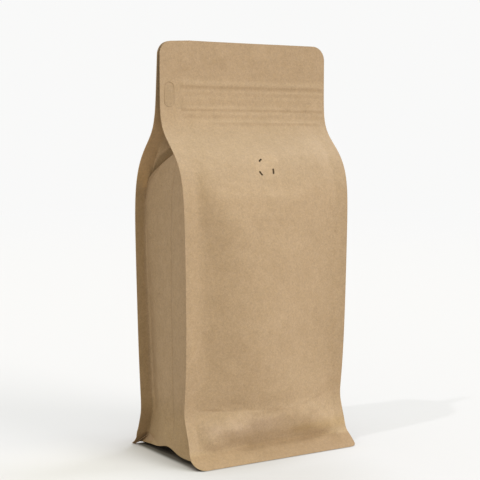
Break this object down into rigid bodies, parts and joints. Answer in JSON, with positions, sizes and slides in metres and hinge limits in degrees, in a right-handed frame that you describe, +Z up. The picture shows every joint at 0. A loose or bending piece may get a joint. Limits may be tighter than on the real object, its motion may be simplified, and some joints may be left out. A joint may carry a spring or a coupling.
{
  "type": "flat-bottom kraft paper pouch",
  "caption": "Filled flat-bottom pouch of plain brown kraft paper, with folded side gussets, sealed edge fins, a flared foot, a press-to-close strip, a pull tab and vent slits.",
  "frame": {"origin": "on the floor, under the centre of the bounding box's base", "axes": "+Z up from the foot to the top edge; the front panel, with the pull tab and the vent slits, faces -Y; +X to the right seen from the front"},
  "size_m": [0.1412, 0.0938, 0.2959],
  "materials": {
    "kraft_paper": "matte",
    "kraft_tab": "matte"
  },
  "bodies": {
    "root": {"pouch": "kraft_paper", "pull_tab": "kraft_tab"}
  },
  "joints": []
}
